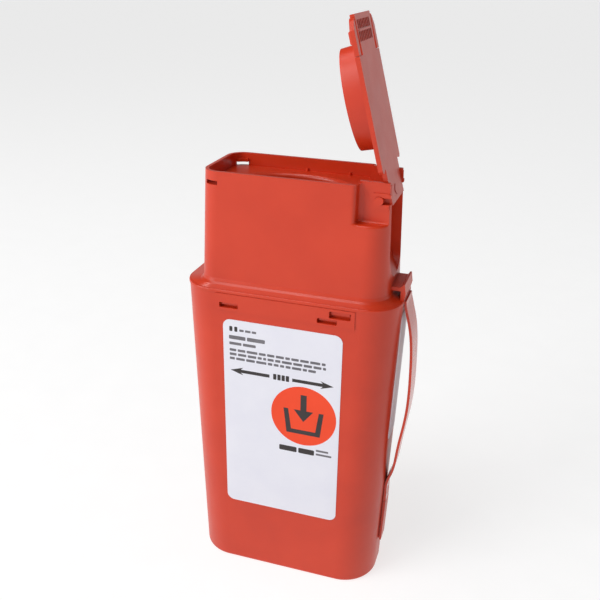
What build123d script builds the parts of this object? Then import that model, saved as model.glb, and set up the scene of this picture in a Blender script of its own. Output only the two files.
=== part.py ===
"""Transportable sharps container with a hinged stopper lid and a carry strap.

The tub stands on its flat base. The cover snaps into the tub's rim and carries a narrower
neck, whose sunken deck has an oval drop hole. A lid with an oval plug ring swings on two pins
between cheeks at the right-hand end of the neck. Millimetres, +Z up, origin in the middle of
the base, +X towards the hinge, -Y towards the front label.
"""
from build123d import *
from math import cos, radians, sin
import os

os.makedirs("parts", exist_ok=True)

# ---------------------------------------------------------------- driving dimensions
WALL = 1.8                      # moulded wall of tub and cover
TUB_HEIGHT = 174.4
TUB_TOP = (-57.5, 58.0, 53.0, 17.5)     # left end, right end, depth and corner radius at the parting line
TUB_BASE = (-53.5, 52.7, 48.5, 20.0)    # the same at the base: the walls have draft
TUB_FLOOR = 2.2
BASE_EDGE = 1.6

FLANGE_HEIGHT = 1.6
FLANGE_EDGE = 0.7
FLANGE_LIP = 0.4                # how far the cover's flange overhangs the tub
SHOULDER_SETBACK = 0.1
SHOULDER_TOP = 178.2
RIM_TOP = 236.6
NECK_FOOT_X = (-47.4, 51.8)     # left and right end of the neck where it meets the shoulder
NECK_RIM_X = (-45.5, 49.5)      # and at the rim
NECK_FOOT_DEPTH = 48.0
NECK_RIM_DEPTH = 45.0
NECK_LEFT_RADIUS = 9.0
NECK_FOOT_RADIUS = 13.0
NECK_RIM_RADIUS = 9.5

SKIRT_DROP = 9.5                # seal skirt that hangs inside the tub's rim
SKIRT_WALL = 1.4
SKIRT_GAP = 0.3

DECK_TOP = 229.8
HOLE_CENTRE_X = -2.3
HOLE_RADII = (25.3, 13.5)
COLLAR_DROP = 6.0
COLLAR_WALL = 1.5
HOLE_LEAD_IN = 2.0

HINGE_X = 44.0
HINGE_Z = 228.7
PIN_RADIUS = 2.1
PIN_PLAY = 0.1
SLOT_HEIGHT = 3.3               # narrower than the pin, so the pin snaps in

CHEEK_INNER = 14.5
CHEEK_OUTER = 16.5
CHEEK_TOP = 237.5
CHEEK_END_X = 48.8
POCKET_FLOOR = 217.5
POCKET_X = 34.0                 # where the neck steps in to the cheeks
PAD_HEIGHT = 0.5

WELL_BOTTOM = 186.0
WELL_BACK_X = 35.8

LID_OPEN = 74.9                 # rest pose: degrees open from closed
LID_FACE = 5.4                  # outer face above the pin axis
LID_THICK = 2.2
LID_TAIL = -3.8                 # along the lid, measured from the pin axis
LID_STEP = 14.0
LID_TIP = 84.0
LID_TAIL_HALF = 14.0
LID_HALF = 20.2
LID_TIP_HALF = 14.3
LID_CHAMFER_START = 77.4
LID_SHOULDER = (81.4, 18.0)      # along and across: the corner of the tip is rounded off in two cuts
PLUG_CENTRE = HINGE_X - HOLE_CENTRE_X
PLUG_ROOT_RADII = (24.9, 13.0)
PLUG_END_RADII = (24.2, 12.6)
PLUG_REACH = 7.6                # free edge of the plug below the pin axis
PLUG_WALL = 1.6

LATCH_ROOT = 66.2               # the slits run from here to the chamfered corners
LID_TIP_WIDTH = 13.4            # half-width of the tip at the root of the slits
LID_TIP_FLARE = 15.0            # half-width that the slits' inner edges reach at the tip
LATCH_INNER = 16.4
LATCH_GAP = 0.25
BEAD_HEIGHT = 0.9

STRAP_HALF = 8.0
STRAP_FOOT_HALF = 4.6
STRAP_WAIST_Z = (62.0, 92.0)    # the strap widens from its foot to its full width here
STRAP_THICK = 1.4

FRONT_LABEL = (65.0, 116.6, 4.2)
FRONT_LABEL_CENTRE = (-0.7, 101.4)
END_LABEL_HALF = 9.0
END_LABEL_Z = (92.0, 168.0)
LABEL_THICK = 0.2
LABEL_ROUND = 3.0

# ---------------------------------------------------------------- derived values
DECK_UNDER = DECK_TOP - WALL
FLANGE_TOP = TUB_HEIGHT + FLANGE_HEIGHT
TUB_RIGHT, TUB_DEPTH = TUB_TOP[1:3]
TUB_SLOPE_X = (TUB_RIGHT - TUB_BASE[1]) / TUB_HEIGHT
TUB_SLOPE_Y = (TUB_DEPTH - TUB_BASE[2]) / 2 / TUB_HEIGHT
CUT = 40.0                      # a cutter that is sure to clear the part


def tub_side_x(height):
    """Outer face of the tub's right-hand end at a height."""
    return TUB_BASE[1] + TUB_SLOPE_X * height


def tub_front_y(height):
    """Outer face of the tub's front at a height."""
    return -TUB_BASE[2] / 2 - TUB_SLOPE_Y * height


def tub_section(height, grow=0.0):
    """The tub's outline at a height, grown outwards, as a sketch."""
    share = height / TUB_HEIGHT
    left, right, depth, radius = [low + (high - low) * share for low, high in zip(TUB_BASE, TUB_TOP)]
    with BuildSketch(Plane.XY.offset(height)) as section:
        with Locations(((left + right) / 2, 0)):
            RectangleRounded(right - left + 2 * grow, depth + 2 * grow, radius + grow)
    return section.sketch


def neck_section(height, inset=0.0):
    """The neck's outline at a height, pulled in by the inset, as a sketch."""
    share = (height - SHOULDER_TOP) / (RIM_TOP - SHOULDER_TOP)
    left = NECK_FOOT_X[0] + (NECK_RIM_X[0] - NECK_FOOT_X[0]) * share + inset
    right = NECK_FOOT_X[1] + (NECK_RIM_X[1] - NECK_FOOT_X[1]) * share - inset
    depth = NECK_FOOT_DEPTH + (NECK_RIM_DEPTH - NECK_FOOT_DEPTH) * share - 2 * inset
    right_radius = NECK_FOOT_RADIUS + (NECK_RIM_RADIUS - NECK_FOOT_RADIUS) * share - inset
    with BuildSketch(Plane.XY.offset(height)) as section:
        with Locations(((left + right) / 2, 0)):
            Rectangle(right - left, depth)
        fillet(section.vertices().group_by(Axis.X)[0], NECK_LEFT_RADIUS - inset)
        fillet(section.vertices().group_by(Axis.X)[-1], right_radius)
    return section.sketch


def neck_solid(low, high, inset):
    """The neck between two heights, as a loose solid."""
    return loft([neck_section(low, inset), neck_section(high, inset)], mode=Mode.PRIVATE)


# ---------------------------------------------------------------- tub
WINDOW_LOW = (10.4, 2.8)        # width and height of the cover's snap windows
WINDOW_HIGH = (11.2, 3.8)
WINDOWS = [(-29.7, 167.6, *WINDOW_LOW), (23.2, 166.8, *WINDOW_LOW), (29.8, 170.8, *WINDOW_HIGH)]
WINDOW_ROUND = 0.6
PANEL_X = (-37.0, 37.5)
PANEL_Z = (164.6, 174.0)
PANEL_RAISE = 0.4
RAIL_WEB_HALF = 3.4
RAIL_HALF = 4.8
RAIL_FACE_X = 54.8
RAIL_Z = (20.0, 47.7)
RAIL_ROUND = 1.1
RAIL_ROOT = 0.7                 # how far the T's flange is let into its web
RAIL_LEAN = 1.1
RIB_TOP = 84.0
STUD_RADIUS = 2.2
STUD_Z = 53.0
STRAP_FOOT_X = RAIL_FACE_X + STRAP_THICK

with BuildPart() as tub:
    loft([tub_section(0.0), tub_section(TUB_HEIGHT)])
    fillet(tub.faces().sort_by(Axis.Z)[0].edges(), BASE_EDGE)
    # raised strip under the rim, with the cover's snap windows in it
    with BuildSketch(Plane.XZ.offset(-tub_front_y(PANEL_Z[1]) - WALL / 2)):
        with Locations((sum(PANEL_X) / 2, sum(PANEL_Z) / 2)):
            Rectangle(PANEL_X[1] - PANEL_X[0], PANEL_Z[1] - PANEL_Z[0])
    extrude(amount=WALL / 2 + PANEL_RAISE)
    loft([tub_section(TUB_FLOOR, -WALL), tub_section(TUB_HEIGHT, -WALL)], mode=Mode.SUBTRACT)
    with BuildSketch(Plane.XZ.offset(-tub_front_y(PANEL_Z[1]) - 2 * WALL)):
        for centre_x, centre_z, width, tall in WINDOWS:
            with Locations((centre_x, centre_z)):
                RectangleRounded(width, tall, WINDOW_ROUND)
    extrude(amount=4 * WALL, mode=Mode.SUBTRACT)
    # rib on the end wall, its T-shaped foot, and the stud that holds the strap
    with BuildSketch(Plane.XZ):
        with BuildLine():
            Polyline(
                (tub_side_x(RAIL_Z[0]) - WALL / 2, RAIL_Z[0]),
                (RAIL_FACE_X, RAIL_Z[0]),
                (RAIL_FACE_X, RIB_TOP),
                (tub_side_x(RIB_TOP) - WALL / 2, RIB_TOP),
                close=True,
            )
        make_face()
    extrude(amount=RAIL_WEB_HALF, both=True)
    with BuildSketch(Plane.XZ) as rail:
        with BuildLine():
            Polyline(
                (RAIL_FACE_X - RAIL_ROOT, RAIL_Z[0]),
                (STRAP_FOOT_X - RAIL_LEAN, RAIL_Z[0]),
                (STRAP_FOOT_X, RAIL_Z[1]),
                (RAIL_FACE_X, RAIL_Z[1]),
                close=True,
            )
        make_face()
        fillet(rail.vertices().group_by(Axis.Z)[0].sort_by(Axis.X)[-1], RAIL_ROUND)
    extrude(amount=RAIL_HALF, both=True)
    with BuildSketch(Plane.YZ.offset(RAIL_FACE_X - WALL)):
        with Locations((0, STUD_Z)):
            Circle(STUD_RADIUS)
    extrude(amount=WALL + STRAP_THICK)
tub.part.label = "container_body"
export_step(tub.part, "parts/container_body.step")

# ---------------------------------------------------------------- cover
TAB_DEPTH = 0.7                 # how far the cover's snap tabs reach into the tub's windows
TAB_CLEAR = 0.8
POCKET_ROUND = 2.6
POCKET_EDGE = 2.2
SHELF_EDGE = 1.2
NECK_FLARE = [(2.6, 0.0), (0.9, 0.5), (0.0, 1.6)]   # height above the shoulder, reach outwards
LATCH_WINDOW_X = (-42.8, -36.2)
LATCH_WINDOW_Z = (DECK_TOP, 231.9)
NIB_DEPTH = 1.2
NIB_HEIGHT = 1.7
PIP_X = (-2.9, 20.4)
PIP_SIZE = 1.6
PAD_X = (41.2, CHEEK_END_X)
PAD_Z = (224.9, 232.5)
PAD_LIP_X = (CHEEK_END_X - PAD_HEIGHT, CHEEK_END_X + 0.8)
PAD_LIP_Z = (HINGE_Z + SLOT_HEIGHT / 2, 232.0)
CHEEK_ROUND = 3.0
RELIEF_Z = (233.1, 236.1)
BRACKET_HALF = 10.0
BRACKET_UNDER = 181.4
BRACKET_PLATE = 183.4
BRACKET_CREST = 185.0
BRACKET_NOSE = (59.0, 180.0)
BRACKET_WALL = 1.6
BRACKET_ROUND = 1.2


def pocket_cutter(side, grow):
    """Corner pocket beside one cheek, grown by a wall where the hollow must stay clear of it."""
    inner = CHEEK_OUTER - grow
    outer = NECK_FOOT_DEPTH / 2 + CUT / 4
    with BuildPart() as pocket:
        with BuildSketch(Plane.XY.offset(POCKET_FLOOR - grow)) as plan:
            with Locations((POCKET_X - grow + CUT / 2, side * (inner + outer) / 2)):
                Rectangle(CUT, outer - inner)
            corner = plan.vertices().sort_by(lambda v: v.X + side * v.Y)[0]
            fillet(corner, POCKET_ROUND)
        extrude(amount=CUT)
    return pocket.part


def well_cutter(grow):
    """Rounded well in the neck's end wall: straight at the hinge, running out at the bottom."""
    half = CHEEK_INNER + grow
    with BuildPart() as well:
        with BuildSketch(Plane.YZ.offset(WELL_BACK_X - grow)):
            with Locations((0, WELL_BOTTOM + CHEEK_INNER)):
                Circle(half)
            with Locations((0, WELL_BOTTOM + CHEEK_INNER + CUT)):
                Rectangle(2 * half, 2 * CUT)
        extrude(amount=CUT)
        with BuildSketch(Plane.XZ):
            with BuildLine():
                Polyline(
                    (WELL_BACK_X - grow, RIM_TOP + CUT),
                    (WELL_BACK_X - grow, RIM_TOP - 2 * CHEEK_INNER),
                    (NECK_FOOT_X[1] - grow, WELL_BOTTOM - grow),
                    (NECK_FOOT_X[1] + CUT, WELL_BOTTOM - grow),
                    (NECK_FOOT_X[1] + CUT, RIM_TOP + CUT),
                    close=True,
                )
            make_face()
        extrude(amount=CUT, both=True, mode=Mode.INTERSECT)
    return well.part


pockets = [pocket_cutter(side, 0.0) for side in (1, -1)]
pockets_grown = [pocket_cutter(side, WALL) for side in (1, -1)]
well = well_cutter(0.0)
well_grown = well_cutter(WALL)
neck_hollow = neck_solid(TUB_HEIGHT, DECK_UNDER, WALL)
tray_hollow = neck_solid(DECK_TOP, RIM_TOP + WALL, WALL)
for cutter in pockets_grown:
    neck_hollow -= cutter
    tray_hollow -= cutter
neck_hollow -= well_grown
nib_band = neck_solid(LATCH_WINDOW_Z[1], LATCH_WINDOW_Z[1] + NIB_HEIGHT, WALL / 2)
nib_band -= neck_solid(DECK_TOP, RIM_TOP, WALL + NIB_DEPTH)

with BuildSketch(Plane.XZ) as cheek:
    with BuildLine():
        Polyline(
            (POCKET_X - WALL, POCKET_FLOOR - WALL / 2),
            (CHEEK_END_X, POCKET_FLOOR - WALL / 2),
            (CHEEK_END_X, CHEEK_TOP),
            (POCKET_X, CHEEK_TOP),
            (POCKET_X - WALL, RIM_TOP),
            close=True,
        )
    make_face()
    fillet(cheek.vertices().group_by(Axis.Z)[-1].sort_by(Axis.X)[-1], CHEEK_ROUND)
shoulder_foot = Pos(0, 0, FLANGE_HEIGHT) * tub_section(TUB_HEIGHT, FLANGE_LIP - FLANGE_EDGE - SHOULDER_SETBACK)
flare_sections = [neck_section(SHOULDER_TOP + rise, -reach) for rise, reach in NECK_FLARE]
shoulder = loft([shoulder_foot, flare_sections[-1]], mode=Mode.PRIVATE)
flare = loft(flare_sections[::-1], ruled=True, mode=Mode.PRIVATE)

with BuildPart() as cover:
    extrude(tub_section(TUB_HEIGHT, FLANGE_LIP), amount=FLANGE_HEIGHT)
    fillet(cover.faces().sort_by(Axis.Z)[-1].edges(), FLANGE_EDGE)
    add(shoulder)
    add(flare)
    add(neck_solid(SHOULDER_TOP - WALL, RIM_TOP, 0.0))
    # corner pockets, end well, hollow neck and the tray above the deck
    for cutter in (*pockets, well, neck_hollow, tray_hollow):
        add(cutter, mode=Mode.SUBTRACT)
    upright = cover.edges().filter_by_position(Axis.X, POCKET_X - PIN_PLAY, POCKET_X + PIN_PLAY)
    upright = [edge for edge in upright if abs(edge.center().Y) > NECK_RIM_DEPTH / 2 - WALL / 2]
    fillet(upright, POCKET_EDGE)
    shelf = cover.edges().filter_by_position(Axis.Z, POCKET_FLOOR - PIN_PLAY, POCKET_FLOOR + PIN_PLAY)
    shelf = [edge for edge in shelf if abs(edge.center().Y) > NECK_RIM_DEPTH / 2 - WALL / 2]
    fillet(shelf, SHELF_EDGE)
    # cheeks that carry the hinge, with a raised pad round each slot
    for side in (1, -1):
        outer_face = Pos(0, side * CHEEK_OUTER, 0) * cheek.sketch.face()
        extrude(outer_face, amount=CHEEK_OUTER - CHEEK_INNER, dir=(0, -side, 0))
        pad = Pos(0, side * CHEEK_OUTER, 0)
        for x_range, z_range in ((PAD_X, PAD_Z), (PAD_LIP_X, PAD_LIP_Z)):
            width, tall = x_range[1] - x_range[0], z_range[1] - z_range[0]
            middle = pad * Pos(sum(x_range) / 2, 0, sum(z_range) / 2)
            add(middle * Box(width, 2 * PAD_HEIGHT, tall, mode=Mode.PRIVATE))
    # bevel that lets the lid's shoulders swing past the walls between tray and pockets
    with BuildSketch(Plane.XZ):
        with BuildLine():
            Polyline(
                (POCKET_X - 2 * WALL, RELIEF_Z[0]),
                (POCKET_X - WALL, RELIEF_Z[0]),
                (POCKET_X, RELIEF_Z[1]),
                (POCKET_X, CHEEK_TOP + WALL),
                (POCKET_X - 2 * WALL, CHEEK_TOP + WALL),
                close=True,
            )
        make_face()
    extrude(amount=NECK_RIM_DEPTH / 2 - WALL, both=True, mode=Mode.SUBTRACT)
    # pin holes with their snap-in slots
    with BuildSketch(Plane.XZ.offset(CUT)):
        with Locations((HINGE_X, HINGE_Z)):
            Circle(PIN_RADIUS + PIN_PLAY)
        with Locations((HINGE_X + CUT / 2, HINGE_Z)):
            Rectangle(CUT, SLOT_HEIGHT)
    extrude(amount=-2 * CUT, mode=Mode.SUBTRACT)
    # drop hole with its collar and lead-in
    with BuildSketch(Plane.XY.offset(DECK_UNDER - COLLAR_DROP)):
        with Locations((HOLE_CENTRE_X, 0)):
            Ellipse(HOLE_RADII[0] + COLLAR_WALL, HOLE_RADII[1] + COLLAR_WALL)
    extrude(amount=COLLAR_DROP + WALL / 2)
    with BuildSketch(Plane.XY.offset(DECK_UNDER - COLLAR_DROP)):
        with Locations((HOLE_CENTRE_X, 0)):
            Ellipse(*HOLE_RADII)
    extrude(amount=COLLAR_DROP + WALL, mode=Mode.SUBTRACT)
    deck_edges = cover.edges().filter_by_position(Axis.Z, DECK_TOP - PIN_PLAY, DECK_TOP + PIN_PLAY)
    mouth = deck_edges.sort_by_distance((HOLE_CENTRE_X, 0, DECK_TOP))[0]
    fillet(mouth, HOLE_LEAD_IN)
    # lid catches: a nib above a core window at each left-hand corner
    for side in (1, -1):
        window_middle = (sum(LATCH_WINDOW_X) / 2, side * NECK_RIM_DEPTH / 2)
        window_width = LATCH_WINDOW_X[1] - LATCH_WINDOW_X[0]
        with BuildSketch(Plane.XY.offset(LATCH_WINDOW_Z[0])):
            with Locations(window_middle):
                Rectangle(window_width, NECK_LEFT_RADIUS)
        extrude(amount=LATCH_WINDOW_Z[1] - LATCH_WINDOW_Z[0], mode=Mode.SUBTRACT)
        column = Box(window_width, NECK_LEFT_RADIUS, CUT, mode=Mode.PRIVATE)
        add(nib_band & (Pos(*window_middle, RIM_TOP) * column))
        with Locations(*[(x, side * (NECK_RIM_DEPTH / 2 - WALL), DECK_TOP) for x in PIP_X]):
            Cylinder(PIP_SIZE / 2, PIP_SIZE, align=(Align.CENTER, Align.CENTER, Align.MIN))
    # seal skirt and the snap tabs inside the tub's rim
    skirt_outer = tub_section(TUB_HEIGHT - SKIRT_DROP, -WALL - SKIRT_GAP)
    skirt_inner = tub_section(TUB_HEIGHT - SKIRT_DROP, -WALL - SKIRT_GAP - SKIRT_WALL)
    extrude(skirt_outer - skirt_inner, amount=SKIRT_DROP + WALL / 2)
    for centre_x, centre_z, width, tall in WINDOWS:
        tab_root_y = tub_front_y(centre_z) + WALL + SKIRT_GAP + SKIRT_WALL / 2
        with BuildSketch(Plane.XZ.offset(-tab_root_y)):
            with Locations((centre_x, centre_z + tall / 6)):
                Rectangle(width - 2 * TAB_CLEAR, tall / 2)
        extrude(amount=TAB_DEPTH + SKIRT_GAP + SKIRT_WALL / 2)
    # bracket over the strap's root
    with BuildSketch(Plane.XZ) as bracket:
        with BuildLine():
            Polyline(
                (NECK_FOOT_X[1] - WALL, BRACKET_UNDER),
                (TUB_RIGHT - BRACKET_WALL, BRACKET_UNDER),
                (TUB_RIGHT - BRACKET_WALL, FLANGE_TOP - FLANGE_EDGE),
                (TUB_RIGHT, FLANGE_TOP - FLANGE_EDGE),
                BRACKET_NOSE,
                (BRACKET_NOSE[0] - FLANGE_EDGE, BRACKET_CREST),
                (BRACKET_NOSE[0] - BRACKET_WALL, BRACKET_CREST),
                (TUB_RIGHT - BRACKET_WALL, BRACKET_PLATE),
                (NECK_FOOT_X[1] - WALL, BRACKET_PLATE),
                close=True,
            )
        make_face()
        fillet(bracket.vertices().sort_by_distance((BRACKET_NOSE[0], 0, BRACKET_NOSE[1]))[0], BRACKET_ROUND)
    extrude(amount=BRACKET_HALF, both=True)
cover.part.label = "neck_cover"
export_step(cover.part, "parts/neck_cover.step")

# ---------------------------------------------------------------- lid and its latch fingers
LEAN = radians(LID_OPEN)
LID_FRAME = Plane(
    origin=(HINGE_X, 0, HINGE_Z),
    x_dir=(-cos(LEAN), 0, sin(LEAN)),
    z_dir=(sin(LEAN), 0, cos(LEAN)),
)
LUG_WIDTH = 3.0
LUG_RADIUS = 3.3
PIN_PROUD = 0.5
PIN_END = CHEEK_OUTER + PAD_HEIGHT + PIN_PROUD
NOTCH = 1.4
BEAD_LENGTH = 6.0
BEAD_CENTRE = LID_CHAMFER_START - BEAD_LENGTH / 2
BEAD_DRAFT = 30
LID_UNDER = LID_FACE - LID_THICK


LID_EDGE = [                    # one edge of the lid, from the hinge end to the tip
    (LID_TAIL, LID_TAIL_HALF),
    (LID_STEP, LID_TAIL_HALF),
    (LID_STEP - NOTCH, LID_HALF - NOTCH),
    (LID_STEP, LID_HALF),
    (LID_CHAMFER_START, LID_HALF),
    LID_SHOULDER,
    (LID_TIP, LID_TIP_HALF),
]
LID_OUTLINE = LID_EDGE + [(along, -across) for along, across in reversed(LID_EDGE)]

with BuildPart() as lid:
    with BuildSketch(LID_FRAME.offset(LID_UNDER)):
        with BuildLine():
            Polyline(*LID_OUTLINE, close=True)
        make_face()
        for side in (1, -1):
            with BuildLine():
                Polyline(
                    (LATCH_ROOT, side * LID_TIP_WIDTH),
                    (LID_TIP, side * LID_TIP_FLARE),
                    (LID_TIP, side * CUT),
                    (LATCH_ROOT, side * CUT),
                    close=True,
                )
            make_face(mode=Mode.SUBTRACT)
    extrude(amount=LID_THICK)
    # oval plug ring
    with BuildSketch(LID_FRAME.offset(LID_UNDER + LID_THICK / 4)):
        with Locations((PLUG_CENTRE, 0)):
            Ellipse(*PLUG_ROOT_RADII)
    with BuildSketch(LID_FRAME.offset(-PLUG_REACH)):
        with Locations((PLUG_CENTRE, 0)):
            Ellipse(*PLUG_END_RADII)
    loft()
    with BuildSketch(LID_FRAME.offset(LID_UNDER)):
        with Locations((PLUG_CENTRE, 0)):
            Ellipse(*[radius - PLUG_WALL for radius in PLUG_ROOT_RADII])
    with BuildSketch(LID_FRAME.offset(-PLUG_REACH)):
        with Locations((PLUG_CENTRE, 0)):
            Ellipse(*[radius - PLUG_WALL for radius in PLUG_END_RADII])
    loft(mode=Mode.SUBTRACT)
    # lugs and hinge pins under the tail
    for side in (1, -1):
        lug_plane = Plane(
            origin=LID_FRAME.from_local_coords((0, side * LID_TAIL_HALF, 0)),
            x_dir=LID_FRAME.x_dir,
            z_dir=side * LID_FRAME.y_dir,
        )
        with BuildSketch(lug_plane):
            Circle(LUG_RADIUS)
            with Locations((0, side * -LID_FACE / 2)):
                Rectangle(2 * LUG_RADIUS, LID_FACE - LID_THICK / 2)
        extrude(amount=-LUG_WIDTH)
        with BuildSketch(lug_plane):
            Circle(PIN_RADIUS)
        extrude(amount=PIN_END - LID_TAIL_HALF)
lid.part.label = "lid"
export_step(lid.part, "parts/lid.step")

# springy latch fingers, one along each edge of the lid beyond the slits
for side, place in ((1, "front"), (-1, "back")):
    with BuildPart() as latch:
        with BuildSketch(LID_FRAME.offset(LID_UNDER)):
            with BuildLine():
                Polyline(*LID_OUTLINE, close=True)
            make_face()
            with Locations((LATCH_ROOT + LATCH_GAP + CUT / 2, side * (LATCH_INNER + CUT / 2))):
                Rectangle(CUT, CUT, mode=Mode.INTERSECT)
        extrude(amount=LID_THICK)
        # rounded catch bead under the free end
        with BuildSketch(LID_FRAME.offset(LID_UNDER)):
            with Locations((BEAD_CENTRE, side * (LID_HALF + LATCH_INNER) / 2)):
                Rectangle(BEAD_LENGTH, LID_HALF - LATCH_INNER)
        extrude(amount=-BEAD_HEIGHT, taper=BEAD_DRAFT)
    latch.part.label = f"lid_latch_{place}"
    export_step(latch.part, f"parts/lid_latch_{place}.step")

# ---------------------------------------------------------------- carry strap
HOLE_PLAY = 0.3
STRAP_FOOT_TOP = (STRAP_FOOT_X, STUD_Z + 2 * STUD_RADIUS)
STRAP_TOP = (TUB_RIGHT + STRAP_THICK + HOLE_PLAY, TUB_HEIGHT - STRAP_THICK)
STRAP_BOW = [(58.7, 68.0), (61.5, 86.0), (64.5, 108.0), (65.1, 136.0), (63.0, 160.0)]

STRAP_RISE = (STRAP_TOP[0] - STRAP_BOW[-1][0], STRAP_TOP[1] - STRAP_BOW[-1][1])


def strap_face(shift):
    """One face of the bowed strap, shifted inwards, as a line for the active builder."""
    points = [(x - shift, z) for x, z in (STRAP_FOOT_TOP, *STRAP_BOW, STRAP_TOP)]
    return Spline(*points, tangents=((0, 1), STRAP_RISE))


with BuildPart() as strap:
    with BuildSketch(Plane.XZ):
        with BuildLine():
            outer = strap_face(0.0)
            inner = strap_face(STRAP_THICK)
            Line(outer @ 1, inner @ 1)
            Polyline(
                outer @ 0,
                (STRAP_FOOT_X, RAIL_Z[1] + HOLE_PLAY),
                (RAIL_FACE_X, RAIL_Z[1] + HOLE_PLAY),
                inner @ 0,
            )
        make_face()
    extrude(amount=STRAP_HALF, both=True)
    # root that joins the edge of the cover's flange
    with BuildSketch(Plane.XZ):
        with BuildLine():
            Polyline(
                (TUB_RIGHT + FLANGE_LIP, TUB_HEIGHT),
                (STRAP_TOP[0] - STRAP_THICK / 2, STRAP_TOP[1] - STRAP_THICK),
                STRAP_TOP,
                (STRAP_TOP[0] - HOLE_PLAY, TUB_HEIGHT + FLANGE_HEIGHT - FLANGE_EDGE),
                (TUB_RIGHT + FLANGE_LIP, TUB_HEIGHT + FLANGE_HEIGHT - FLANGE_EDGE),
                close=True,
            )
        make_face()
    extrude(amount=STRAP_HALF, both=True)
    with BuildSketch(Plane.YZ.offset(RAIL_FACE_X - WALL)):
        with Locations((0, STUD_Z)):
            Circle(STUD_RADIUS + HOLE_PLAY)
    extrude(amount=2 * WALL + STRAP_THICK, mode=Mode.SUBTRACT)
    # plan of the strap seen from the end: full width above, narrow at the foot
    with BuildSketch(Plane.YZ.offset(RAIL_FACE_X - WALL)):
        with BuildLine():
            Polyline(
                (STRAP_FOOT_HALF, RAIL_Z[1]),
                (STRAP_FOOT_HALF, STRAP_WAIST_Z[0]),
                (STRAP_HALF, STRAP_WAIST_Z[1]),
                (STRAP_HALF, FLANGE_TOP),
                (-STRAP_HALF, FLANGE_TOP),
                (-STRAP_HALF, STRAP_WAIST_Z[1]),
                (-STRAP_FOOT_HALF, STRAP_WAIST_Z[0]),
                (-STRAP_FOOT_HALF, RAIL_Z[1]),
                close=True,
            )
        make_face()
    extrude(amount=CUT, mode=Mode.INTERSECT)
strap.part.label = "carry_strap"
export_step(strap.part, "parts/carry_strap.step")

# ---------------------------------------------------------------- labels
label_x, label_z = FRONT_LABEL_CENTRE
FRONT_PLANE = Plane(
    origin=(label_x, tub_front_y(label_z), label_z),
    x_dir=(1, 0, 0),
    z_dir=(0, -1, -TUB_SLOPE_Y),
)
with BuildPart() as front_label:
    with BuildSketch(FRONT_PLANE):
        RectangleRounded(*FRONT_LABEL)
    extrude(amount=LABEL_THICK)
front_label.part.label = "front_label"
export_step(front_label.part, "parts/front_label.step")

with BuildPart() as end_label:
    loft([tub_section(height, LABEL_THICK) for height in (0.0, TUB_HEIGHT)])
    loft([tub_section(height) for height in (0.0, TUB_HEIGHT)], mode=Mode.SUBTRACT)
    with BuildSketch(Plane.YZ):
        with Locations((0, sum(END_LABEL_Z) / 2)):
            RectangleRounded(2 * END_LABEL_HALF, END_LABEL_Z[1] - END_LABEL_Z[0], LABEL_ROUND)
    extrude(amount=TUB_RIGHT + CUT, mode=Mode.INTERSECT)
end_label.part.label = "end_label"
export_step(end_label.part, "parts/end_label.step")
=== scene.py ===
"""The sharps container's looks: moulded orange-red plastic, printed label film, studio.

Lengths on the object are in millimetres and turn into metres in Face.at. Lengths in
materials, lights and the camera are in metres.
"""
import math
import random

import bmesh
import bpy
from mathutils import Matrix, Vector


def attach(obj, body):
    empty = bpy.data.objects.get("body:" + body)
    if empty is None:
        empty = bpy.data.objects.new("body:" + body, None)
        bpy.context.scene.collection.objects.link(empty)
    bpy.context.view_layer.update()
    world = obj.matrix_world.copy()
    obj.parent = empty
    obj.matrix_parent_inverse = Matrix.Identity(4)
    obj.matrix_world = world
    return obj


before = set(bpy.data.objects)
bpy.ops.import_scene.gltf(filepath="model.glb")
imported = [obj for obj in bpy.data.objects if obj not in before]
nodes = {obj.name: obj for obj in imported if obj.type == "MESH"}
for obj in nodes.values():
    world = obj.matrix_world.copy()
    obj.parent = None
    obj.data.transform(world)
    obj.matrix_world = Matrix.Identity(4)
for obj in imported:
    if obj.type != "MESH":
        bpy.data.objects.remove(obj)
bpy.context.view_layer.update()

MM = 0.001
TINY = 1e-6

# ---------------------------------------------------------------- camera
CAMERA_YAW = 17.04              # degrees to the left of straight ahead
CAMERA_PITCH = 23.74            # degrees down
CAMERA_ROLL = 1.19
CAMERA_DISTANCE = 0.41956
CAMERA_TARGET = Vector((0.00077, 0.0, 0.16426))
CAMERA_LENS = 46.68
CAMERA_NEAR = 0.01


def make_camera():
    yaw, pitch, roll = (math.radians(a) for a in (CAMERA_YAW, CAMERA_PITCH, CAMERA_ROLL))
    level = Vector((-math.sin(yaw), math.cos(yaw), 0.0))
    right = Vector((math.cos(yaw), math.sin(yaw), 0.0))
    up_axis = Vector((0.0, 0.0, 1.0))
    forward = math.cos(pitch) * level - math.sin(pitch) * up_axis
    up = math.cos(pitch) * up_axis + math.sin(pitch) * level
    side = math.cos(roll) * right + math.sin(roll) * up
    top = -math.sin(roll) * right + math.cos(roll) * up
    data = bpy.data.cameras.new("camera")
    data.lens = CAMERA_LENS
    data.clip_start = CAMERA_NEAR
    camera = bpy.data.objects.new("camera", data)
    bpy.context.scene.collection.objects.link(camera)
    turn = Matrix((side, top, -forward)).transposed()
    place = CAMERA_TARGET - forward * CAMERA_DISTANCE
    camera.matrix_world = Matrix.Translation(place) @ turn.to_4x4()
    bpy.context.scene.camera = camera


# ---------------------------------------------------------------- materials
def new_material(name):
    material = bpy.data.materials.new(name)
    material.use_nodes = True
    tree = material.node_tree
    return material, tree, tree.nodes["Principled BSDF"]


def noise(tree, scale, detail, roughness):
    """Noise in the object's own coordinates; scale is in cycles per metre."""
    where = tree.nodes.new("ShaderNodeTexCoord")
    texture = tree.nodes.new("ShaderNodeTexNoise")
    texture.inputs["Scale"].default_value = scale
    texture.inputs["Detail"].default_value = detail
    texture.inputs["Roughness"].default_value = roughness
    tree.links.new(where.outputs["Object"], texture.inputs["Vector"])
    return texture


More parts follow.
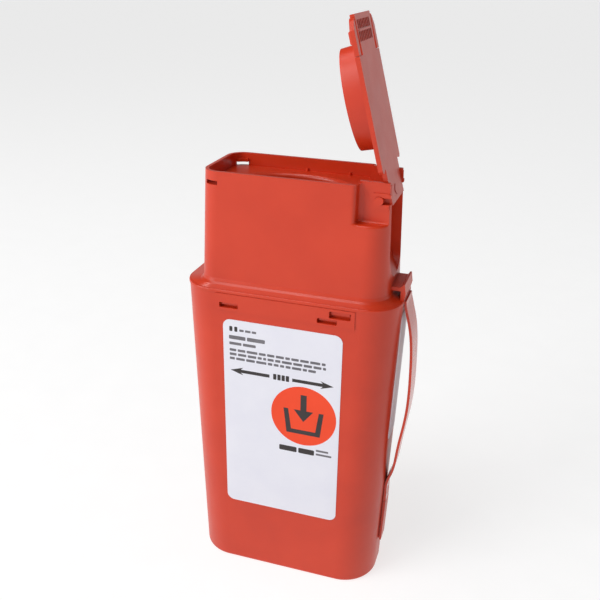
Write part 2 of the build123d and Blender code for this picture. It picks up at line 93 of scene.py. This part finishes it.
def ramp(tree, source, stops):
    """Colour ramp from a factor output; stops are (position, colour)."""
    node = tree.nodes.new("ShaderNodeValToRGB")
    while len(node.color_ramp.elements) < len(stops):
        node.color_ramp.elements.new(0.5)
    for element, (position, colour) in zip(node.color_ramp.elements, stops):
        element.position = position
        element.color = (*colour, 1.0)
    tree.links.new(source, node.inputs["Fac"])
    return node


def grey(level):
    return (level,) * 3


def map_range(tree, source, low, high):
    node = tree.nodes.new("ShaderNodeMapRange")
    node.inputs["To Min"].default_value = low
    node.inputs["To Max"].default_value = high
    tree.links.new(source, node.inputs["Value"])
    return node


def bump(tree, texture, strength, depth, under=None):
    """Bump from a noise texture, on top of another bump if one is given."""
    node = tree.nodes.new("ShaderNodeBump")
    node.inputs["Strength"].default_value = strength
    node.inputs["Distance"].default_value = depth
    tree.links.new(texture.outputs["Fac"], node.inputs["Height"])
    if under:
        tree.links.new(under.outputs["Normal"], node.inputs["Normal"])
    return node


PLASTIC_IOR = 1.49
PLASTIC_SPECULAR = 0.5
PIGMENT_CYCLES = 28.0           # cloudy pigment
PIGMENT_STOPS = (0.30, 0.50, 0.72)
SMEAR_CYCLES = 90.0             # handling marks in the gloss
SMEAR_LESS = 0.06
SMEAR_MORE = 0.07
SINK_CYCLES = 60.0              # slow sink marks in the walls
SINK_STRENGTH = 0.25
SINK_DEPTH = 0.0006
GRAIN_CYCLES = 2600.0           # spark-eroded mould texture
GRAIN_DEPTH = 0.00006
GLOW_WEIGHT = 0.08              # light that passes through the thin plastic
GLOW_RADIUS = (1.0, 0.25, 0.12)
GLOW_SCALE = 0.002


def moulded_plastic(name, base, dark, light, roughness, grain_strength):
    """Injection-moulded polypropylene: cloudy pigment, fine texture, satin gloss."""
    material, tree, shader = new_material(name)
    cloud = noise(tree, PIGMENT_CYCLES, detail=3.0, roughness=0.55)
    pigment = ramp(tree, cloud.outputs["Fac"], list(zip(PIGMENT_STOPS, (dark, base, light))))
    tree.links.new(pigment.outputs["Color"], shader.inputs["Base Color"])
    smear = noise(tree, SMEAR_CYCLES, detail=4.0, roughness=0.6)
    gloss = map_range(tree, smear.outputs["Fac"], roughness - SMEAR_LESS, roughness + SMEAR_MORE)
    tree.links.new(gloss.outputs["Result"], shader.inputs["Roughness"])
    hollows = noise(tree, SINK_CYCLES, detail=1.0, roughness=0.4)
    sink = bump(tree, hollows, SINK_STRENGTH, SINK_DEPTH)
    grain = noise(tree, GRAIN_CYCLES, detail=2.0, roughness=0.6)
    surface = bump(tree, grain, grain_strength, GRAIN_DEPTH, under=sink)
    tree.links.new(surface.outputs["Normal"], shader.inputs["Normal"])
    shader.inputs["IOR"].default_value = PLASTIC_IOR
    shader.inputs["Specular IOR Level"].default_value = PLASTIC_SPECULAR
    shader.inputs["Subsurface Weight"].default_value = GLOW_WEIGHT
    shader.inputs["Subsurface Radius"].default_value = GLOW_RADIUS
    shader.inputs["Subsurface Scale"].default_value = GLOW_SCALE
    return material


FILM_SPECULAR = 0.35
FILM_CYCLES = 45.0              # mottling of the coating
FILM_STOPS = (0.35, 0.65)
FIBRE_CYCLES = 1800.0           # fibres of the label stock
FIBRE_STRENGTH = 0.15
FIBRE_DEPTH = 0.00004
FIBRE_SPREAD = 0.08


def label_film(name, base, shade, roughness):
    """Coated label film: slightly mottled, with fine fibres in its gloss and surface."""
    material, tree, shader = new_material(name)
    cloud = noise(tree, FILM_CYCLES, detail=4.0, roughness=0.6)
    tint = ramp(tree, cloud.outputs["Fac"], list(zip(FILM_STOPS, (shade, base))))
    tree.links.new(tint.outputs["Color"], shader.inputs["Base Color"])
    fibre = noise(tree, FIBRE_CYCLES, detail=3.0, roughness=0.7)
    gloss = map_range(tree, fibre.outputs["Fac"], roughness - FIBRE_SPREAD, roughness + FIBRE_SPREAD)
    tree.links.new(gloss.outputs["Result"], shader.inputs["Roughness"])
    surface = bump(tree, fibre, FIBRE_STRENGTH, FIBRE_DEPTH)
    tree.links.new(surface.outputs["Normal"], shader.inputs["Normal"])
    shader.inputs["Specular IOR Level"].default_value = FILM_SPECULAR
    return material


RED = moulded_plastic(
    "red_plastic",
    base=(0.565, 0.033, 0.005), dark=(0.525, 0.029, 0.004), light=(0.60, 0.038, 0.007),
    roughness=0.36, grain_strength=0.30,
)
RED_GLOSS = moulded_plastic(
    "red_plastic_strap",
    base=(0.58, 0.034, 0.005), dark=(0.55, 0.031, 0.004), light=(0.61, 0.038, 0.007),
    roughness=0.16, grain_strength=0.20,
)
# Darker copy of the red plastic: painted shade for the lid's grip ribs and curved mark, which sit in
# shadow; the higher roughness is the real rougher grip texture.
RED_PAINTED_SHADE = moulded_plastic(
    "red_plastic_grip_painted_shade",
    base=(0.30, 0.020, 0.008), dark=(0.26, 0.016, 0.006), light=(0.34, 0.024, 0.010),
    roughness=0.62, grain_strength=0.60,
)
WHITE_FILM = label_film(
    "white_film", base=(0.745, 0.740, 0.805), shade=(0.715, 0.710, 0.785), roughness=0.36
)
DARK_PRINT = label_film(
    "dark_print", base=(0.040, 0.033, 0.033), shade=(0.028, 0.023, 0.023), roughness=0.42
)
GREY_PRINT = label_film(
    "grey_print", base=(0.17, 0.16, 0.175), shade=(0.12, 0.115, 0.13), roughness=0.42
)
ORANGE_PRINT = label_film(
    "orange_print", base=(0.83, 0.060, 0.012), shade=(0.79, 0.054, 0.010), roughness=0.40
)


def assign(piece, material):
    piece.data.materials.clear()
    piece.data.materials.append(material)


def dress_cad():
    for name, piece in nodes.items():
        assign(piece, WHITE_FILM if name.endswith("_label") else RED)
    assign(nodes["carry_strap"], RED_GLOSS)


# ---------------------------------------------------------------- flat pieces on a face
class Face:
    """A flat face of the object: millimetre coordinates on it, and height above it."""

    def __init__(self, origin, across, along):
        self.origin = Vector(origin)
        self.across = Vector(across).normalized()
        self.along = Vector(along).normalized()
        self.out = self.across.cross(self.along).normalized()

    def at(self, a, b, height=0.0):
        return MM * (self.origin + a * self.across + b * self.along + height * self.out)


def raised_piece(name, face, outlines, height, material, body, base=0.0, crown=0.0):
    """Solid prisms of the given outlines on a face, with a small bevel round their top."""
    mesh = bpy.data.meshes.new(name)
    shape = bmesh.new()
    levels = ((base, 0.0), (base + height - crown, 0.0), (base + height, crown))
    for outline in outlines:
        centre = Vector((sum(p[0] for p in outline), sum(p[1] for p in outline))) / len(outline)
        rings = []
        for level, shrink in levels:
            ring = []
            for point in outline:
                arm = Vector(point) - centre
                pulled = centre + arm * max(0.0, 1.0 - shrink / max(arm.length, TINY))
                ring.append(shape.verts.new(face.at(pulled.x, pulled.y, level)))
            rings.append(ring)
        count = len(outline)
        for low, high in zip(rings, rings[1:]):
            for i in range(count):
                j = (i + 1) % count
                shape.faces.new((low[i], low[j], high[j], high[i]))
        shape.faces.new(rings[-1])
        shape.faces.new(rings[0][::-1])
    bmesh.ops.recalc_face_normals(shape, faces=shape.faces)
    shape.to_mesh(mesh)
    shape.free()
    piece = bpy.data.objects.new(name, mesh)
    bpy.context.scene.collection.objects.link(piece)
    assign(piece, material)
    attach(piece, body)


def rounded_bar(left, low, right, high, radius, steps=5):
    """Outline of a bar with rounded corners, counter-clockwise."""
    radius = min(radius, (right - left) / 2, (high - low) / 2)
    corners = (
        (right - radius, low + radius, -90),
        (right - radius, high - radius, 0),
        (left + radius, high - radius, 90),
        (left + radius, low + radius, 180),
    )
    points = []
    for a, b, start in corners:
        for step in range(steps + 1):
            turn = math.radians(start + 90.0 * step / steps)
            points.append((a + radius * math.cos(turn), b + radius * math.sin(turn)))
    return points


def bars(spans, levels, radius):
    """Bars between the same two levels; each span is (left, right)."""
    low, high = levels
    return [rounded_bar(left, low, right, high, radius) for left, right in spans]


def circle(a, b, radius, steps=72):
    turns = [2 * math.pi * i / steps for i in range(steps)]
    return [(a + radius * math.cos(t), b + radius * math.sin(t)) for t in turns]


def words(left, low, right, height, seed, shortest=1.6, longest=7.0, gap=1.0):
    """A line of print shown as plain bars of word length."""
    dice = random.Random(seed)
    line = []
    start = left
    while start < right - shortest:
        end = min(right, start + dice.uniform(shortest, longest))
        line.append(rounded_bar(start, low, end, low + height, height / 4))
        start = end + gap
    return line


# ---------------------------------------------------------------- front label print
TUB_HEIGHT = 174.4
TUB_TOP_HALF_DEPTH = 26.5
TUB_BASE_HALF_DEPTH = 24.25
LABEL_THICK = 0.2
FRONT_SLOPE = (TUB_TOP_HALF_DEPTH - TUB_BASE_HALF_DEPTH) / TUB_HEIGHT
FRONT = Face((0.0, -TUB_BASE_HALF_DEPTH - LABEL_THICK, 0.0), (1, 0, 0), (0, -FRONT_SLOPE, 1))
INK = 0.03

MARK_SPANS = ((-29.6, -27.9), (-26.8, -25.1))
MARK_LEVELS = (153.0, 155.9)
HEADING_SPANS = ((-29.9, -20.6), (-19.8, -9.8))
HEADING_LEVELS = (148.4, 150.6)
TEXT_LEFT = -29.7
TEXT_RIGHTS = (23.9, 23.6, 18.2)    # where each row ends
TEXT_FIRST_ROW = 141.3
TEXT_PITCH = 2.55
TEXT_HEIGHT = 1.45
TEXT_SEED = 11
ARROW_LEVEL = 129.7
ARROW_SPANS = ((-7.3, -29.4), (5.4, 28.0))      # tail and tip
ARROW_SHAFT = 1.9
ARROW_HEAD = 7.2
ARROW_BARB = 2.3
ARROW_NOTCH = 0.18                  # share of the head that is cut out behind
BLOCK_COUNT = 4
BLOCK_LEFT = -5.2
BLOCK_WIDTH = 1.8
BLOCK_PITCH = 2.35
BLOCK_LEVELS = (128.2, 131.6)
DISC_CENTRE = (11.9, 108.4)
DISC_RADIUS = 18.2
CAPTION_SPANS = ((-1.6, 8.4), (9.4, 18.4))
CAPTION_LEVELS = (84.6, 87.9)
NOTE_LEFT = 19.4
NOTE_HEIGHT = 1.2


def arrow(tail, tip):
    """Straight level arrow from tail to tip."""
    way = 1 if tip > tail else -1
    neck = tip - way * ARROW_HEAD
    notch = neck + way * ARROW_NOTCH * ARROW_HEAD
    low, high = ARROW_LEVEL - ARROW_SHAFT / 2, ARROW_LEVEL + ARROW_SHAFT / 2
    outline = [
        (tail, low), (notch, low), (neck, ARROW_LEVEL - ARROW_BARB), (tip, ARROW_LEVEL),
        (neck, ARROW_LEVEL + ARROW_BARB), (notch, high), (tail, high),
    ]
    return outline if way > 0 else outline[::-1]


def ink(name, outlines, material, base=0.0):
    raised_piece(name, FRONT, outlines, INK, material, "housing", base)


def print_label():
    ink("label_mark", bars(MARK_SPANS, MARK_LEVELS, radius=0.4), DARK_PRINT)
    small_line = words(
        left=-24.0, low=153.4, right=-14.6, height=1.3, seed=3, shortest=2.0, longest=4.0, gap=0.7
    )
    ink("label_small_line", small_line, GREY_PRINT)
    ink("label_heading", bars(HEADING_SPANS, HEADING_LEVELS, radius=0.5), GREY_PRINT)
    subheading = words(
        left=-29.8, low=145.1, right=-14.1, height=1.6, seed=5, shortest=5.0, longest=8.0, gap=0.8
    )
    ink("label_subheading", subheading, GREY_PRINT)
    text = []
    for row, right in enumerate(TEXT_RIGHTS):
        low = TEXT_FIRST_ROW - TEXT_PITCH * row
        text += words(TEXT_LEFT, low, right, TEXT_HEIGHT, TEXT_SEED + row, longest=6.4, gap=0.8)
    ink("label_text", text, GREY_PRINT)
    ink("label_arrows", [arrow(tail, tip) for tail, tip in ARROW_SPANS], DARK_PRINT)
    lefts = [BLOCK_LEFT + BLOCK_PITCH * i for i in range(BLOCK_COUNT)]
    blocks = bars([(left, left + BLOCK_WIDTH) for left in lefts], BLOCK_LEVELS, radius=0.3)
    ink("label_level_blocks", blocks, DARK_PRINT)
    ink("label_disc", [circle(*DISC_CENTRE, DISC_RADIUS)], ORANGE_PRINT)
    disc_sign()
    ink("label_caption", bars(CAPTION_SPANS, CAPTION_LEVELS, radius=0.6), DARK_PRINT)
    note = words(NOTE_LEFT, low=87.6, right=26.4, height=NOTE_HEIGHT, seed=23, shortest=6.0)
    note += words(
        NOTE_LEFT, low=85.2, right=28.8, height=NOTE_HEIGHT, seed=29, shortest=8.0, longest=9.4
    )
    ink("label_note", note, GREY_PRINT)


SIGN_SHAFT_HALF = 1.7
SIGN_SHAFT_TOP = 13.2
SIGN_HEAD_HALF = 5.4
SIGN_HEAD_TOP = 3.6
SIGN_HEAD_TIP = -3.4
BIN_RIM_HALF = 11.2
BIN_RIM = 3.6
BIN_FOOT_HALF = 9.4
BIN_FOOT = -11.4
BIN_WALL = 2.6


def disc_sign():
    """Plain pictogram on the disc: an arrow going down into an open bin."""
    a, b = DISC_CENTRE
    arrow_down = [
        (a - SIGN_SHAFT_HALF, b + SIGN_SHAFT_TOP), (a - SIGN_SHAFT_HALF, b + SIGN_HEAD_TOP),
        (a - SIGN_HEAD_HALF, b + SIGN_HEAD_TOP), (a, b + SIGN_HEAD_TIP),
        (a + SIGN_HEAD_HALF, b + SIGN_HEAD_TOP), (a + SIGN_SHAFT_HALF, b + SIGN_HEAD_TOP),
        (a + SIGN_SHAFT_HALF, b + SIGN_SHAFT_TOP),
    ]
    rim, foot = b + BIN_RIM, b + BIN_FOOT
    foot_left = [(a - BIN_FOOT_HALF, foot), (a - BIN_FOOT_HALF + BIN_WALL, foot + BIN_WALL)]
    foot_right = [(2 * a - p, q) for p, q in foot_left]
    bin_left = [(a - BIN_RIM_HALF, rim), *foot_left, (a - BIN_RIM_HALF + BIN_WALL, rim)]
    bin_right = [(2 * a - p, q) for p, q in bin_left][::-1]
    bin_foot = [foot_left[0], *foot_right, foot_left[1]]
    outlines = [arrow_down[::-1], bin_left, bin_right, bin_foot]
    ink("label_sign", outlines, DARK_PRINT, base=INK)


# ---------------------------------------------------------------- lid grip
HINGE = Vector((44.0, 0.0, 228.7))
LEAN = math.radians(74.9)
LID_FACE_HEIGHT = 5.4               # outer face above the pin axis
LID_ALONG = Vector((-math.cos(LEAN), 0.0, math.sin(LEAN)))
LID_OUT = Vector((math.sin(LEAN), 0.0, math.cos(LEAN)))
LID = Face(HINGE + LID_FACE_HEIGHT * LID_OUT, (0, 1, 0), LID_ALONG)

GRIP_ROWS = ((77.4, 81.4, 12.0), (71.8, 76.3, 12.6))    # low, high and half-width
RIB_COUNT = 8
RIB_SHARE = 0.46                    # width of a rib in its pitch
RIB_HEIGHT = 0.2
RIB_CROWN = 0.08
GRIP_BEAD_HALF = 12.2
GRIP_BEAD_LEVELS = (76.6, 77.1)
GRIP_BEAD_HEIGHT = 0.4
GRIP_BEAD_CROWN = 0.1
MARK_STEPS = 12
MARK_START = -1.5
MARK_LENGTH = 5.4
MARK_ACROSS = -1.6
MARK_BOW = 2.6
MARK_END_HALF = 0.12
MARK_SWELL = 0.22                   # how much the half-width grows at the middle
MARK_HEIGHT = 0.2


def grip(name, outlines, height, material, crown=0.0):
    raised_piece(name, LID, outlines, height, material, "lid", 0.0, crown)


def lid_details():
    """Two rows of ribs on the lid's tip, a bead between them, and a curved mark by the hinge; the
    ribs and the mark carry painted shade, a darker red standing in for the shadow they sit in.
    """
    for row, (low, high, half) in enumerate(GRIP_ROWS):
        pitch = 2 * half / RIB_COUNT
        spans = [(-half + pitch * i, -half + pitch * (i + RIB_SHARE)) for i in range(RIB_COUNT)]
        ribs = bars(spans, (low, high), radius=0.5)
        grip(f"lid_grip_row_{row + 1}", ribs, RIB_HEIGHT, RED_PAINTED_SHADE, crown=RIB_CROWN)
    bead = bars([(-GRIP_BEAD_HALF, GRIP_BEAD_HALF)], GRIP_BEAD_LEVELS, radius=0.2)
    grip("lid_grip_bead", bead, GRIP_BEAD_HEIGHT, RED, crown=GRIP_BEAD_CROWN)
    outer = []
    inner = []
    for step in range(MARK_STEPS + 1):
        along = MARK_START + MARK_LENGTH * step / MARK_STEPS
        swell = math.sin(math.pi * step / MARK_STEPS)
        middle = MARK_ACROSS - MARK_BOW * swell
        half_width = MARK_END_HALF + MARK_SWELL * swell
        outer.append((middle - half_width, along))
        inner.append((middle + half_width, along))
    grip("lid_tail_mark", [inner + outer[::-1]], MARK_HEIGHT, RED_PAINTED_SHADE)


# ---------------------------------------------------------------- studio
FLOOR_HALF = 20.0
FLOOR_CYCLES = 40.0
FLOOR_STOPS = ((0.3, 0.34), (0.7, 0.36))
FLOOR_ROUGHNESS = 0.9
FLOOR_GLOW = 0.73
# height of the direction looked in, from 0 at the horizon to 1 overhead, and brightness there
WORLD_STOPS = ((0.0, 0.85), (0.13, 0.85), (0.22, 0.28), (0.6, 0.16))
LIGHT_AIM = (0.0, 0.0, 0.15)


def make_stage():
    mesh = bpy.data.meshes.new("floor")
    signs = ((-1, -1), (1, -1), (1, 1), (-1, 1))
    corners = [(FLOOR_HALF * across, FLOOR_HALF * along, 0) for across, along in signs]
    mesh.from_pydata(corners, [], [(0, 1, 2, 3)])
    floor = bpy.data.objects.new("floor", mesh)
    bpy.context.scene.collection.objects.link(floor)
    material, tree, shader = new_material("floor_white")
    speck = noise(tree, FLOOR_CYCLES, detail=2.0, roughness=0.5)
    tones = [(position, grey(level)) for position, level in FLOOR_STOPS]
    tone = ramp(tree, speck.outputs["Fac"], tones)
    tree.links.new(tone.outputs["Color"], shader.inputs["Base Color"])
    shader.inputs["Roughness"].default_value = FLOOR_ROUGHNESS
    shader.inputs["Emission Color"].default_value = (1.0, 1.0, 1.0, 1.0)
    shader.inputs["Emission Strength"].default_value = FLOOR_GLOW
    assign(floor, material)


def make_world():
    """White studio walls near the horizon, darker towards the ceiling."""
    world = bpy.data.worlds.new("studio")
    bpy.context.scene.world = world
    world.use_nodes = True
    tree = world.node_tree
    sky = tree.nodes["Background"]
    where = tree.nodes.new("ShaderNodeTexCoord")
    split = tree.nodes.new("ShaderNodeSeparateXYZ")
    tree.links.new(where.outputs["Generated"], split.inputs["Vector"])
    tones = [(height, grey(level)) for height, level in WORLD_STOPS]
    tone = ramp(tree, split.outputs["Z"], tones)
    tree.links.new(tone.outputs["Color"], sky.inputs["Color"])
    sky.inputs["Strength"].default_value = 1.0


def area_light(name, place, size, power):
    data = bpy.data.lights.new(name, "AREA")
    data.shape = "RECTANGLE"
    data.size, data.size_y = size
    data.energy = power
    light = bpy.data.objects.new(name, data)
    bpy.context.scene.collection.objects.link(light)
    light.location = place
    aim = Vector(LIGHT_AIM) - Vector(place)
    light.rotation_euler = aim.to_track_quat("-Z", "Y").to_euler()


def make_lights():
    area_light("key", place=(-1.05, -1.05, 0.85), size=(0.8, 0.8), power=14.2)
    area_light("overhead", place=(-0.32, -0.42, 1.35), size=(0.8, 0.5), power=6.6)


bpy.context.scene.view_settings.view_transform = "Standard"
bpy.context.scene.view_settings.look = "None"

make_camera()
make_stage()
make_world()
make_lights()
dress_cad()
print_label()
lid_details()
